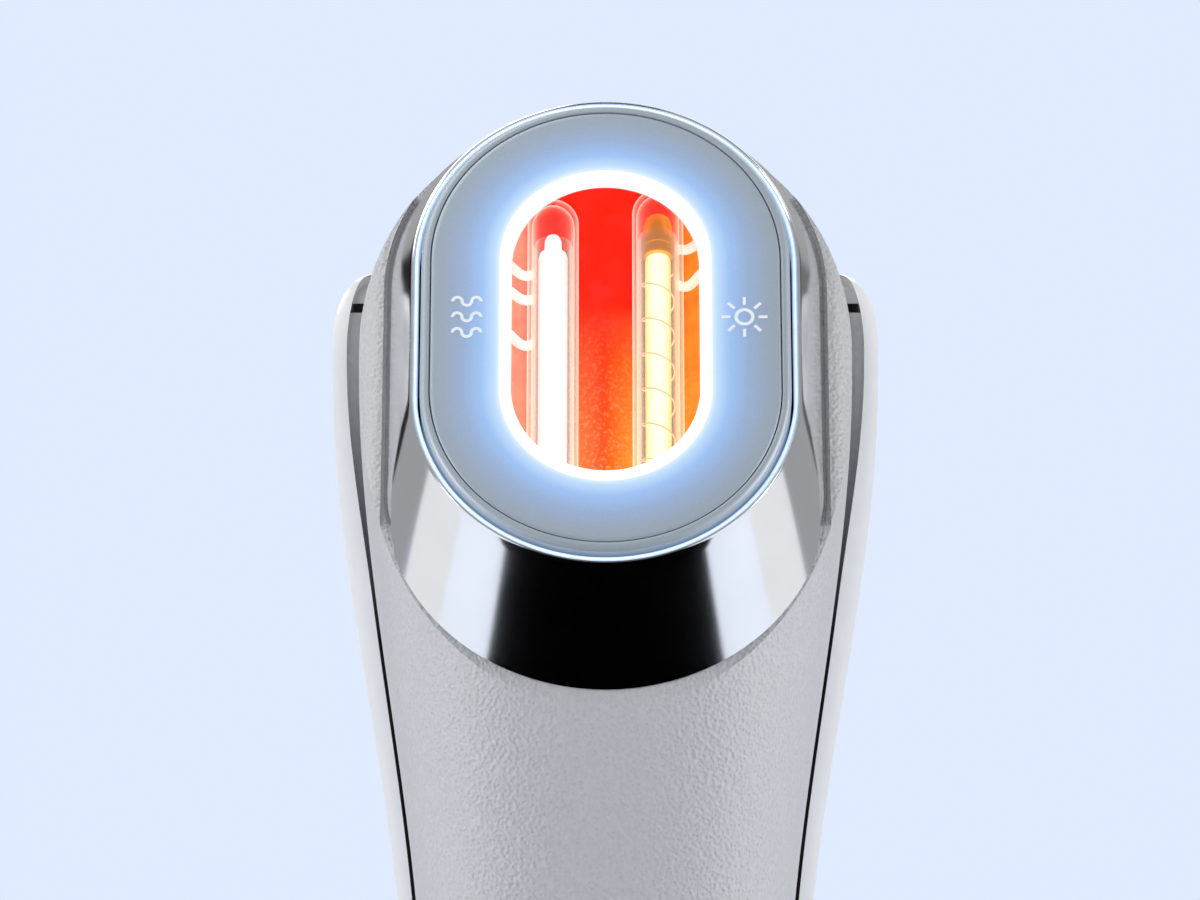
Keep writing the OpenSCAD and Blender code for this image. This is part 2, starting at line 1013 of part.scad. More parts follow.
front_shell();
rear_shell();
seam_gasket();
chrome_collar();
halo_guide();
contact_plate();
plate_rim();
glow_ring();
window_glass();
heat_mark();
light_mark();
ring_board();
ring_leds();
plate_carrier();
switch_stems();
contact_springs();
contact_switches();
head_frame();
frame_screws();
reflector();
lamp_holder();
lamp_leads();
infrared_lamp();
infrared_filament();
flash_lamp();
flash_tube();
lamp_electrodes();
trigger_wire();
heat_sink();
sink_screws();
fan_frame();
fan_rotor();
fan_screws();
chassis();
main_board();
board_screws();
control_chips();
storage_capacitor();
capacitor_sleeve();
transformer_core();
transformer_coil();
trigger_coil();
choke();
key_board();
key_switches();
level_leds();
level_pipes();
flash_button();
flash_stem();
power_button();
power_stem();
end_cap();
cap_screws();
power_socket();
socket_pin();
socket_contacts();
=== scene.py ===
import math

import bpy
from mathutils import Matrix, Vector


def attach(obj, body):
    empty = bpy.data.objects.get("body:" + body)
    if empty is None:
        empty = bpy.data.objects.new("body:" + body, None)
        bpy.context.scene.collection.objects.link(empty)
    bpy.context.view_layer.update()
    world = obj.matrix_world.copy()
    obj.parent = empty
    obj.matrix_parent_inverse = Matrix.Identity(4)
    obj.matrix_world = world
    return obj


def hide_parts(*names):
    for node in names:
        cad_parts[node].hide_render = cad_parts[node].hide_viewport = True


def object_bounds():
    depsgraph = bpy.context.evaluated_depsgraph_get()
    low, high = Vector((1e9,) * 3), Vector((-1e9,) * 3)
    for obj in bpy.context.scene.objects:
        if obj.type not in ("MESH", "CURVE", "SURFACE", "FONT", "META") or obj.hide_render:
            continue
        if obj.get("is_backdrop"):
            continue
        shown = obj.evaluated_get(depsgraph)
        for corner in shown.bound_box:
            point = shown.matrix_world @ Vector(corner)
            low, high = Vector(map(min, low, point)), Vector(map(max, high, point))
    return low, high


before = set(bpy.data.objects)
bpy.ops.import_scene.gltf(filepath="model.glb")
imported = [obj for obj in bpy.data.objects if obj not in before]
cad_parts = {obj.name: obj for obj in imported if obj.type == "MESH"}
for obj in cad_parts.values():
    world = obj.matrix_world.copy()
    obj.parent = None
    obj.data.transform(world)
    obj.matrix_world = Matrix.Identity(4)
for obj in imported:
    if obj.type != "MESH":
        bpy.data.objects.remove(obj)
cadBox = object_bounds()
mm = 0.001

# how the head leans: face tilt in degrees, centre of the window
head = {"tilt": 30.5, "centre": (0, -15, 166.4), "seat": -11.2, "window": 7.75, "half": 6.2}
leaning = math.radians(head["tilt"])
outward = Vector((0, -math.cos(leaning), math.sin(leaning)))
upward = Vector((0, math.sin(leaning), math.cos(leaning)))

# the two lamps: distance from the middle, depth, lower end, tube, glass and the lit cores' radii
lamp = {
    "x": 4.4, "w": -9.4, "bottom": -17.5, "r": 2.15, "glass": 0.35,
    "warmCore": 1.22, "flashCore": 1.08,
}

# form of the body, in millimetres
form = {
    "head": 23.0,          # half width across the head
    "grip": 17.0,          # half width along the grip
    "dome": 20.7,          # radius of the domed top
    "domeZ": 164.4,
    "power": 2.8,          # how square the outline is
    "mid": 2.0,            # depth where the body is widest
    "cap": 5.0,
    "seam": 1.0,           # depth of the seam
    "seamTop": 171.0,
    "seamTurn": 8.0,
}


def ease(t):
    t = min(max(t, 0), 1)
    return t * t * (3 - 2 * t)


def lipOut(z):
    return 1.6 + 0.7 * ease((z - 115) / 45)


def groove(z):
    return 0.35 + 0.75 * ease((z - 143) / 21)


def lipRound(z):
    return 0 if z < 166 else 1.7 * (1 - math.sqrt(max(0, 1 - ((z - 166) / 5.2) ** 2)))


def halfWidth(z, out):
    if z <= form["domeZ"]:
        return form["grip"] + (form["head"] - form["grip"]) * ease((z - 108) / 54) - lipOut(z) + out
    r = form["dome"] + out
    return r * math.sqrt(max(0.0004, 1 - ((z - form["domeZ"]) / r) ** 2))


def frontReach(z, out):
    return 14.5 + 5.7 * ease((z - 95) / 45) + 5 * ease((z - 138) / 20) + form["mid"] + out


def backReach(z, out):
    if z <= form["domeZ"]:
        return 13.2 + 2.3 * ease((z - 100) / 50) - form["mid"] + out
    r = form["dome"] + out
    return 6.9 + (6.6 + out) * math.sqrt(max(0, 1 - ((z - form["domeZ"]) / r) ** 2))


def outline(z, out, turn):
    c = math.cos(turn)
    s = math.sin(turn)
    x = math.copysign(abs(c) ** (2 / form["power"]), c)
    y = math.copysign(abs(s) ** (2 / form["power"]), s)
    reach = backReach(z, out) if y > 0 else frontReach(z, out)
    return Vector((halfWidth(z, out) * x, form["mid"] + reach * y, z))


def onHead(x, v, w):
    return Vector(head["centre"]) + Vector((x, 0, 0)) + upward * v + outward * w


def slotPoint(r, half, turn):
    # length is the way round from the middle of the right side
    length = (turn / math.tau % 1) * (4 * half + math.tau * r)
    quarter = half + math.pi * r / 2
    up = 1
    if length > 2 * quarter:
        length = 4 * quarter - length
        up = -1
    if length < half:
        return r, up * length
    if length > half + math.pi * r:
        return -r, up * (2 * quarter - length)
    a = (length - half) / r
    return r * math.cos(a), up * (half + r * math.sin(a))


# ---- modelling

def deselect():
    bpy.ops.object.select_all(action="DESELECT")


def active():
    return bpy.context.view_layer.objects.active


def editing(on):
    bpy.ops.object.mode_set(mode="EDIT" if on else "OBJECT")


def pick(piece, test):
    # vertices that pass the test are selected, and the edges and faces between them
    editing(True)
    bpy.ops.mesh.select_mode(type="VERT")
    bpy.ops.mesh.select_all(action="DESELECT")
    editing(False)
    for v in piece.data.vertices:
        v.select = test(v.co)
    for e in piece.data.edges:
        e.select = all(piece.data.vertices[i].select for i in e.vertices)
    for f in piece.data.polygons:
        f.select = all(piece.data.vertices[i].select for i in f.vertices)
    editing(True)


def ringStack(name, count, rings, place, ends):
    # a circle pulled up ring by ring, then every ring is laid where the form has it
    deselect()
    bpy.ops.mesh.primitive_circle_add(vertices=count, radius=1, location=(0, 0, 0))
    piece = active()
    piece.name = name
    editing(True)
    bpy.ops.mesh.select_all(action="SELECT")
    for _ in range(rings - 1):
        bpy.ops.mesh.extrude_region_move(TRANSFORM_OT_translate={"value": (0, 0, 1)})
    editing(False)
    if ends == "loop":
        pick(piece, lambda p: p.z < 0.5 or p.z > rings - 1.5)
        bpy.ops.mesh.bridge_edge_loops()
        editing(False)
    else:
        for level in (0, rings - 1):
            pick(piece, lambda p: abs(p.z - level) < 0.5)
            bpy.ops.mesh.edge_face_add()
            editing(False)
    for v in piece.data.vertices:
        v.co = place(round(v.co.z), math.atan2(v.co.y, v.co.x)) * mm
    outwardFaces()
    return piece


def outwardFaces():
    # of the active piece
    editing(True)
    bpy.ops.mesh.select_all(action="SELECT")
    bpy.ops.mesh.remove_doubles(threshold=1e-7)
    bpy.ops.mesh.normals_make_consistent(inside=False)
    editing(False)


def slotStack(name, sections, ends="loop", count=160, put=onHead):
    # sections are (radius, half length, depth)
    def place(ring, turn):
        r, half, depth = sections[ring]
        x, v = slotPoint(r, half, turn % math.tau)
        return put(x, v, depth)
    return ringStack(name, count, len(sections), place, ends)


def applyModifier(piece, kind, **settings):
    deselect()
    piece.select_set(True)
    bpy.context.view_layer.objects.active = piece
    change = piece.modifiers.new(kind.title(), kind)
    for key, value in settings.items():
        setattr(change, key, value)
    bpy.ops.object.modifier_apply(modifier=change.name)


def roundEdges(piece, width, degrees=40, segments=3):
    applyModifier(piece, "BEVEL", width=width * mm, segments=segments, limit_method="ANGLE",
                  angle_limit=math.radians(degrees), harden_normals=False)


def smooth(piece, degrees=35):
    deselect()
    piece.select_set(True)
    bpy.context.view_layer.objects.active = piece
    bpy.ops.object.shade_smooth_by_angle(angle=math.radians(degrees))


def cutAway(piece, cutter):
    applyModifier(piece, "BOOLEAN", operation="DIFFERENCE", object=cutter, solver="EXACT")
    bpy.data.objects.remove(cutter)


def cutBehind(piece, y, top):
    # takes away what lies behind depth y, up to a height
    deselect()
    block = {"wide": 60, "deep": 40}
    bpy.ops.mesh.primitive_cube_add(
        size=1, location=(0, (y + block["deep"] / 2) * mm, 0.5 * top * mm),
        scale=(block["wide"] * mm, block["deep"] * mm, top * mm))
    behind = active()
    bpy.ops.object.transform_apply(location=True, rotation=True, scale=True)
    cutAway(piece, behind)


def keepWithin(piece, limits):
    applyModifier(piece, "BOOLEAN", operation="INTERSECT", object=limits, solver="EXACT")
    bpy.data.objects.remove(limits)


def joined(pieces, name):
    deselect()
    for p in pieces:
        p.select_set(True)
    bpy.context.view_layer.objects.active = pieces[0]
    if len(pieces) > 1:
        bpy.ops.object.join()
    pieces[0].name = name
    return pieces[0]


def finished(piece, body, slot, material, *nodes):
    piece.data.materials.clear()
    piece.data.materials.append(material)
    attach(piece, body)
    if nodes:
        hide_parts(*nodes)
    return piece


# ---- finishes

class Link:
    # a socket that takes part in sums
    def __init__(self, board, socket):
        self.board = board
        self.socket = socket

    def sum(self, operation, first, second=None):
        values = {0: first} if second is None else {0: first, 1: second}
        return self.board.node("ShaderNodeMath", {"operation": operation}, values)

    def __add__(self, other):
        return self.sum("ADD", self, other)

    __radd__ = __add__

    def __sub__(self, other):
        return self.sum("SUBTRACT", self, other)

    def __rsub__(self, other):
        return self.sum("SUBTRACT", other, self)

    def __mul__(self, other):
        return self.sum("MULTIPLY", self, other)

    __rmul__ = __mul__

    def __truediv__(self, other):
        return self.sum("DIVIDE", self, other)

    def __rtruediv__(self, other):
        return self.sum("DIVIDE", other, self)

    def __pow__(self, other):
        return self.sum("POWER", self, other)

    def __abs__(self):
        return self.sum("ABSOLUTE", self)

    def atLeast(self, other):
        return self.sum("MAXIMUM", self, other)

    def atMost(self, other):
        return self.sum("MINIMUM", self, other)

    def held(self):
        return self.atLeast(0).atMost(1)


class Finish:
    # a material with one shader, whose fixed values are set on its own sockets
    def __init__(self, name, **fixed):
        self.material = bpy.data.materials.new(name)
        self.material.use_nodes = True
        self.tree = self.material.node_tree
        self.shader = self.tree.nodes["Principled BSDF"]
        for key, value in fixed.items():
            self.shader.inputs[socketNames[key]].default_value = value

    def node(self, kind, settings=None, values=None, out=0):
        n = self.tree.nodes.new(kind)
        for key, value in (settings or {}).items():
            if key == "stops":
                for i, (at, colour) in enumerate(value):
                    stop = n.color_ramp.elements[i] if i < 2 else n.color_ramp.elements.new(at)
                    stop.position = at
                    stop.color = (*colour, 1)
            else:
                setattr(n, key, value)
        for key, value in (values or {}).items():
            if isinstance(value, Link):
                self.tree.links.new(value.socket, n.inputs[key])
            else:
                n.inputs[key].default_value = value
        return Link(self, n.outputs[out])

    def feed(self, key, link):
        self.tree.links.new(link.socket, self.shader.inputs[socketNames[key]])

    def place(self):
        return self.node("ShaderNodeTexCoord", out="Object")

    def axes(self):
        place = self.place()
        return [self.node("ShaderNodeSeparateXYZ", None, {0: place}, axis) for axis in "XYZ"]

    def noise(self, scale, detail=2, rough=0.5):
        return self.node("ShaderNodeTexNoise", None, {
            "Vector": self.place(), "Scale": scale, "Detail": detail, "Roughness": rough}, "Fac")

    def cells(self, scale, feature="F1"):
        return self.node("ShaderNodeTexVoronoi", {"feature": feature}, {
            "Vector": self.place(), "Scale": scale}, "Distance")

    def blend(self, amount, first, second):
        n = self.node("ShaderNodeMix", {"data_type": "RGBA"}, {0: amount}, 2)
        for socket, value in zip((6, 7), (first, second)):
            if isinstance(value, Link):
                self.tree.links.new(value.socket, n.socket.node.inputs[socket])
            else:
                n.socket.node.inputs[socket].default_value = (*value, 1)
        return n

    def ramp(self, amount, stops):
        return self.node("ShaderNodeValToRGB", {"stops": stops}, {0: amount}, "Color")

    def bump(self, height, strength, distance):
        self.feed("normal", self.node("ShaderNodeBump", None, {
            "Strength": strength, "Distance": distance * mm, "Height": height}))


socketNames = {
    "colour": "Base Color", "metal": "Metallic", "rough": "Roughness", "ior": "IOR", "alpha": "Alpha",
    "normal": "Normal", "coat": "Coat Weight", "coatRough": "Coat Roughness",
    "specular": "Specular IOR Level",
    "glow": "Emission Color", "glowPower": "Emission Strength",
}


def tint(r, g, b):
    # a screen colour as the light it stands for
    return tuple(((c / 255 + 0.055) / 1.055) ** 2.4 if c > 10 else c / 255 / 12.92 for c in (r, g, b))


def headAxes(board):
    # across, along and out of the window, in millimetres
    x, y, z = board.axes()
    cy, cz = head["centre"][1:]
    y = y / mm - cy
    z = z / mm - cz
    return x / mm, y * upward.y + z * upward.z, y * outward.y + z * outward.z


def slotDistance(board, half, r):
    x, v = headAxes(board)[:2]
    past = (abs(v) - half).atLeast(0)
    return (x * x + past * past) ** 0.5 - r


def grainedSilver():
    m = Finish("grainedSilver", metal=0.0, specular=0.6, coat=0.15, coatRough=0.35)
    pebble = m.cells(3000, "SMOOTH_F1")
    fine = m.noise(3600, 3, 0.6)
    broad = m.noise(60, 2)
    m.feed("colour", m.blend(pebble * 0.5 + fine * 0.5, tint(168, 169, 172), tint(192, 193, 196)))
    m.feed("rough", 0.34 + fine * 0.2 + broad * 0.08)
    m.bump(pebble * 0.9 + fine * 0.6, 0.8, 0.2)
    return m.material


def glossWhite():
    m = Finish("glossWhite", coat=0.6, coatRough=0.05, specular=0.5)
    smear = m.noise(90, 3)
    m.feed("colour", m.blend(m.noise(700, 2), tint(244, 245, 247), tint(249, 249, 250)))
    m.feed("rough", 0.16 + smear * 0.1)
    m.bump(m.noise(420, 2), 0.04, 0.05)
    return m.material


def seamShade():
    m = Finish("seamPaintedShade", specular=0.35)
    z = m.axes()[2] / mm
    fine = m.noise(1500, 3)
    # painted shade and light: the strip is near black low down, where the gap runs deep, and light grey at
    # the top, where the gap opens to the light
    up = ((z - 140) / 24).held()
    base = m.blend(up, tint(34, 34, 37), tint(214, 215, 218))
    m.feed("colour", m.blend(fine * 0.3, base, tint(60, 60, 64)))
    m.feed("rough", 0.45 + fine * 0.15)
    m.bump(fine, 0.15, 0.04)
    return m.material


def mirrorChrome():
    m = Finish("mirrorChrome", metal=1.0)
    smear = m.noise(120, 4)
    m.feed("colour", m.blend(smear, tint(222, 224, 228), tint(236, 237, 240)))
    m.feed("rough", 0.08 + smear * 0.06)
    return m.material


def satinPlate(paintedGlow):
    m = Finish("satinPlate" if paintedGlow else "satinRim", metal=0.25, specular=0.5, coat=0.2, coatRough=0.25)
    fine = m.noise(5200, 2)
    m.feed("colour", m.blend(fine, tint(154, 165, 175), tint(166, 176, 185)))
    m.feed("rough", 0.32 + fine * 0.14 + m.noise(90, 2) * 0.06)
    m.bump(fine, 0.08, 0.03)
    if paintedGlow:
        # painted light: a glow painted on the plate round the window, white at its edge and fading through
        # blue to nothing, standing for light spilling from the window
        d = slotDistance(m, head["half"], head["window"] + 0.9) / 6
        light = m.ramp(d.held(), [
            (0.0, (0.6, 0.66, 0.7)), (1.0, (0, 0, 0)), (0.08, (0.26, 0.44, 0.66)),
            (0.25, (0.03, 0.21, 0.56)), (0.5, (0.0, 0.08, 0.28)), (0.78, (0.0, 0.02, 0.07))])
        m.feed("glow", light)
        m.shader.inputs["Emission Strength"].default_value = 0.85
    return m.material


def lightGuide(name, colour, power):
    m = Finish(name, rough=0.3, glowPower=power)
    cloud = m.noise(900, 2)
    m.feed("colour", m.blend(cloud, (0.8, 0.9, 1.0), (0.95, 0.98, 1.0)))
    m.feed("glow", m.blend(cloud, colour, tuple(0.5 + c / 2 for c in colour)))
    return m.material


def clearGlass(name, edge, thin, power):
    # clearer face on, denser and brighter where it turns away
    m = Finish(name, rough=0.03, ior=1.46, specular=0.25, glowPower=power)
    turned = m.node("ShaderNodeLayerWeight", None, {"Blend": 0.5}, "Facing")
    streak = m.noise(400, 3)
    m.feed("colour", m.blend(streak, edge, (1, 1, 1)))
    m.feed("alpha", (thin + turned ** 3 * 0.85 + (streak - 0.5).atLeast(0) * 0.05).held())
    m.feed("glow", m.blend(turned, (0, 0, 0), edge))
    return m.material


def reflectorPaintedGlow():
    # painted light: the tray's red and orange glow is emission standing for the lamps' light falling on it
    m = Finish("reflectorPaintedGlow", rough=0.6, specular=0.1, glowPower=0.95)
    x, v = headAxes(m)[:2]
    spread = 4.6                                                  # how far each lamp's painted light reaches across the tray
    outside = {"from": 5.6, "fade": 1.5}
    fine = m.noise(2600, 2, 0.7)
    patch = m.noise(520, 3, 0.6)
    low = ((10 - v) / 16).held()                                  # painted light brighter towards the lower end
    # painted pools of light round each lamp
    paintedFlashPool = (1 - abs(x - lamp["x"]) / spread).held() * low
    paintedWarmPool = (1 - abs(x + lamp["x"]) / spread).held() * low
    # bright specks of painted light, low down
    speck = ((fine - 0.5) * 7).held() * low
    base = m.blend(low, (0.92, 0.012, 0.001), (0.95, 0.075, 0.006))
    base = m.blend(((paintedFlashPool * 1.5) * (0.55 + patch)).held(), base, (1.0, 0.42, 0.02))
    base = m.blend((paintedWarmPool * 1.6).held() * 0.55, base, (1.0, 0.42, 0.12))
    # painted light on the tray beyond each lamp, on both outer sides
    right = ((x - outside["from"]) / outside["fade"]).held() * (0.35 + patch * 0.9).held()
    left = ((0 - x - outside["from"]) / outside["fade"]).held() * (0.45 + patch * 0.9).held()
    base = m.blend(right, base, (0.95, 0.32, 0.02))
    base = m.blend(left, base, (0.98, 0.36, 0.24))
    base = m.blend(speck * 0.5, base, (1.0, 0.45, 0.16))
    m.feed("glow", base)
    m.feed("colour", m.blend(fine, (0.12, 0.0, 0.0), (0.2, 0.006, 0.0)))
    m.bump(fine, 0.3, 0.05)
    return m.material


def hotCore(name, centre, r, middle, edge, power):
    # whitest along its middle, deeper coloured towards both sides
    m = Finish(name, rough=0.4, glowPower=power)
    x = headAxes(m)[0]
    side = (abs(x - centre) / r).held() ** 2.5
    flicker = m.noise(800, 2)
    m.feed("colour", m.blend(flicker, middle, edge))
    m.feed("glow", m.blend((side * 0.9 + flicker * 0.1).held(), middle, edge))
    return m.material


def plainFinish(name, colour, rough, metal=0.0, grain=900, glow=None, glowPower=0.0, coat=0.0):
    m = Finish(name, metal=metal, coat=coat)
    mottle = m.noise(grain, 3)
    darker = tuple(c * 0.82 for c in colour)
    m.feed("colour", m.blend(mottle, darker, colour))
    m.feed("rough", rough * 0.85 + m.noise(grain / 6, 2) * rough * 0.3)
    m.bump(mottle, 0.12, 0.04)
    if glow:
        m.shader.inputs["Emission Strength"].default_value = glowPower
        m.feed("glow", m.blend(mottle, glow, tuple(c * 0.85 for c in glow)))
    return m.material


# ---- the body

def shellLevels(step):
    count = round((form["domeZ"] - form["cap"]) / step)
    levels = [form["cap"] + (form["domeZ"] - form["cap"]) * i / count for i in range(count)]
    return levels + [form["domeZ"]]


def coreSolid(name, out, bottom):
    # the rounded body as a closed solid, grown or shrunk by out
    rows = {"columns": 192, "grip": 3.0, "neck": 1.5, "turn": 2.5}
    r = form["dome"] + out
    dome = [form["domeZ"] + r * math.sin(math.radians(rows["turn"] * a)) for a in range(1, 36)]
    low = [z for z in shellLevels(rows["grip"]) if form["cap"] + 1 < z < 100]
    neck = [z for z in shellLevels(rows["neck"]) if z > 101]
    levels = [bottom] + low + neck + dome + [form["domeZ"] + r - 0.01]
    return ringStack(name, rows["columns"], len(levels),
                     lambda ring, turn: outline(levels[ring], out, turn), "both")


def headTrim(name, out, front):
    # what the head's sides are drawn in to, round at the top and running down past the grip
    trim = {"r": 18.6, "swell": 2.6, "deep": 4.5, "base": 9.9, "low": -190, "back": -200}
    start = head["seat"] + 0.3
    rings = [(trim["r"] + out, front)]
    for i in range(13):
        t = 1 - math.cos(i / 12 * math.pi / 2)
        swell = trim["swell"] * math.sqrt(1 - (1 - t) ** 2)
        rings.append((trim["r"] + out + swell, start - trim["deep"] * t))
    rings.append((trim["r"] + out + trim["swell"], trim["back"]))

    def place(ring, turn):
        r, w = rings[ring]
        base = trim["base"] if math.sin(turn) > -1e-6 else trim["low"]
        return onHead(r * math.cos(turn), base + r * math.sin(turn), w)

    return ringStack(name, 144, len(rings), place, "both")


def makeFrontShell(material):
    body = {"wall": 1.6, "skirt": 3.0, "skirtTop": 168.0}
    shell = coreSolid("frontShell", 0, form["cap"])
    keepWithin(shell, headTrim("outerTrim", 0, head["seat"]))
    hollow = coreSolid("hollow", -body["wall"], form["cap"] - 1)
    keepWithin(hollow, headTrim("innerTrim", -body["wall"], 0))
    cutAway(shell, hollow)
    cutBehind(shell, form["seam"] + body["skirt"], body["skirtTop"])
    smooth(shell, 40)
    return finished(shell, "housing", "shell_silver", material, "front_shell")


def seamDepth(z, shift):
    turnZ = form["seamTop"] - form["seamTurn"]
    r = form["seamTurn"] - shift
    if z <= turnZ:
        return form["seam"] + shift
    return form["seam"] + form["seamTurn"] - math.sqrt(max(0, r * r - (z - turnZ) ** 2))


def backSheet(name, columns, rows, top, shift):
    # a grid wrapped round the back of the body, from seam to seam
    turnZ = form["seamTop"] - form["seamTurn"]
    deselect()
    bpy.ops.mesh.primitive_grid_add(x_subdivisions=columns, y_subdivisions=rows, size=2)
    sheet = active()
    sheet.name = name

    def height(t):
        straight = 0.72
        if t < straight:
            return form["cap"] + (turnZ - form["cap"]) * t / straight
        return turnZ + (top - turnZ) * math.sin((t - straight) / (1 - straight) * math.pi / 2)

    def put(p, out):
        z = height((p.y + 1) / 2)
        y = seamDepth(z, shift)
        o = out(z)
        if y >= form["mid"]:
            s = ((y - form["mid"]) / backReach(z, o)) ** (form["power"] / 2)
            start = math.asin(min(s, 1))
        else:
            s = ((form["mid"] - y) / frontReach(z, o)) ** (form["power"] / 2)
            start = -math.asin(min(s, 1))
        turn = start + (math.pi - 2 * start) * (1 - (p.x + 1) / 2)
        return outline(z, o, turn) * mm
    return sheet, put


def lipOuter(z):
    return lipOut(z) - lipRound(z)


def lipInner(z):
    return min(groove(z), lipOuter(z) - 0.2)


def makeRearShell(material):
    vents = {
        "upper": (147, 13, (-9, -6, -3, 0, 3, 6, 9)),
        "lower": (66, 12, (-6, -3, 0, 3, 6)),
        "half": 0.6,
    }
    holes = {"flash": (6.0, 5.0, 123), "power": (4.3, 0.01, 97), "lights": (0.85, 0.01, 107.5)}
    sheet, put = backSheet("rearShell", 150, 120, form["seamTop"], 0)
    editing(True)
    bpy.ops.mesh.select_all(action="SELECT")
    bpy.ops.mesh.extrude_region_move(TRANSFORM_OT_translate={"value": (0, 0, 1)})
    editing(False)
    for v in sheet.data.vertices:
        v.co = put(v.co, lipInner if v.co.z > 0.5 else lipOuter)
    outwardFaces()
    roundEdges(sheet, 0.32, 50, 3)
    cutters = []
    for z, tall, places in (vents["upper"], vents["lower"]):
        for x in places:
            cutters.append(backSlot("vent", vents["half"], tall / 2, x, z + tall / 2, 9, 20, 24))
    r, half, z = holes["flash"]
    cutters.append(backSlot("flashHole", r, half, 0, z, 10, 19, 64))
    r, half, z = holes["power"]
    cutters.append(backSlot("powerHole", r, half, 0, z, 10, 19, 64))
    r, half, z = holes["lights"]
    for i in range(-2, 3):
        cutters.append(backSlot("lightHole", r, half, 3 * i, z, 10, 19, 24))
    cutAway(sheet, joined(cutters, "shellCutter"))
    smooth(sheet, 32)
    return finished(sheet, "housing", "shell_white", material, "rear_shell")


def backSlot(name, r, half, x, z, y0, y1, count):
    # a plug with round ends that points to the back of the grip
    return slotStack(name, [(r, half, y0), (r, half, y1)], "both", count,
                     lambda across, along, depth: Vector((x + across, depth, z + along)))


def makeSeamShadeStrip(material):
    # a dark strip laid in the seam's recess, standing for the shade in the gap: painted shade
    shadeStrip = {"shift": 0.9, "deep": 1.7, "under": 0.05, "proud": 0.02}
    sheet, put = backSheet("seamShadeStrip", 120, 110, form["seamTop"] - shadeStrip["shift"], shadeStrip["shift"])
    editing(True)
    bpy.ops.mesh.select_all(action="SELECT")
    bpy.ops.mesh.extrude_region_move(TRANSFORM_OT_translate={"value": (0, 0, 1)})
    editing(False)
    for v in sheet.data.vertices:
        inner = v.co.z > 0.5
        v.co = put(v.co, lambda z: -shadeStrip["under"] if inner else groove(z) + shadeStrip["proud"])
    outwardFaces()
    back = shadeStrip["shift"] + shadeStrip["deep"]
    cutBehind(sheet, form["seam"] + back, form["seamTop"] - back)
    smooth(sheet, 50)
    return finished(sheet, "housing", "seam_dark", material, "seam_gasket")


def makeEndCap(material):
    screws = {"x": 9, "y": -3, "r": 2.1, "deep": 2.2}
    socket = {"y": 5, "r": 3.4}
    levels = [(0, 0.65), (0.12, 0.82), (0.9, 0.9), (1.0, 0.95), (1.1, 1.4), (1.3, 1.55),
              (3, lipOut(0)), (form["cap"] - 0.15, lipOut(0)), (form["cap"], lipOut(0) - 0.12)]

    def place(ring, turn):
        z, out = levels[ring]
        p = outline(0, out, turn)
        return Vector((p.x, p.y, z))

    cap = ringStack("endCap", 176, len(levels), place, "both")
    cutters = []
    deselect()
    bpy.ops.mesh.primitive_cylinder_add(vertices=64, radius=socket["r"] * mm, depth=12 * mm,
                                        location=(0, socket["y"] * mm, 3 * mm))
    cutters.append(active())
    for side in (-1, 1):
        bpy.ops.mesh.primitive_cylinder_add(
            vertices=48, radius=screws["r"] * mm, depth=2 * screws["deep"] * mm,
            location=(side * screws["x"] * mm, screws["y"] * mm, 0))
        cutters.append(active())
    cutAway(cap, joined(cutters, "capCutter"))
    roundEdges(cap, 0.12, 60, 2)
    smooth(cap, 40)
    return finished(cap, "housing", "cap_white", material, "end_cap")


# ---- the head

def makeCollar(material):
    cone = {"front": (16.05, 6.2, -0.9), "back": (18.3, 9.9, -11.05), "steps": 16}
    wall = [(15.4, 6.2, -3.7), (15.4, 6.2, -2.5), (15.75, 6.2, -2.5), (15.75, 6.2, -0.86),
            (15.79, 6.2, -0.76), (15.87, 6.2, -0.71), (15.96, 6.2, -0.74), (16.02, 6.2, -0.81)]
    for i in range(cone["steps"] + 1):
        t = i / cone["steps"]
        wall.append(tuple(a + (b - a) * t for a, b in zip(cone["front"], cone["back"])))
    wall += [(18.28, 9.9, -11.14), (18.2, 9.9, -11.2), (16.9, 9.9, -11.2), (16.0, 8.4, -7.5)]
    collar = slotStack("chromeCollar", wall, "loop", 240)
    smooth(collar, 30)
    return finished(collar, "housing", "collar_chrome", material, "chrome_collar")


def makeSkinPlate(satin, satinEdge, guide, glass):
    half = head["half"]
    plate = slotStack("contactPlate", [
        (8.7, half, -1.0), (8.7, half, -0.05), (8.75, half, 0), (11.5, half, 0), (14.0, half, 0),
        (14.24, half, -0.02), (14.36, half, -0.1), (14.36, half, -1.0)])
    smooth(plate)
    finished(plate, "skin_plate", "plate_satin", satin, "contact_plate")
    turn = [math.radians(a) for a in range(0, 91, 15)]
    inside = [(14.46, half, -3.8), (14.46, half, -0.09), (14.5, half, -0.02), (14.56, half, 0)]
    roundOver = [(14.7 + 0.5 * math.sin(a), half, -0.5 + 0.5 * math.cos(a)) for a in turn]
    rim = slotStack("plateRim", inside + roundOver + [(15.2, half, -3.8)])
    smooth(rim)
    finished(rim, "skin_plate", "plate_satin", satinEdge, "plate_rim")
    ring = slotStack("glowRing", [
        (7.75, half, -1.2), (7.75, half, -0.08), (7.83, half, 0.03), (8.0, half, 0.05), (8.6, half, 0.03),
        (8.68, half, -0.04), (8.7, half, -1.0), (10.9, half, -1.0), (10.9, half, -2.0), (9.6, half, -2.0),
        (9.6, half, -1.2)])
    smooth(ring)
    finished(ring, "skin_plate", "glow_clear", guide, "glow_ring")
    pane = slotStack("windowGlass", [
        (9.55, half, -2.3), (9.55, half, -1.25), (7.7, half, -1.25), (7.7, half, -0.4),
        (7.6, half, -0.3)], "both")
    smooth(pane)
    finished(pane, "skin_plate", "window_clear", glass, "window_glass")


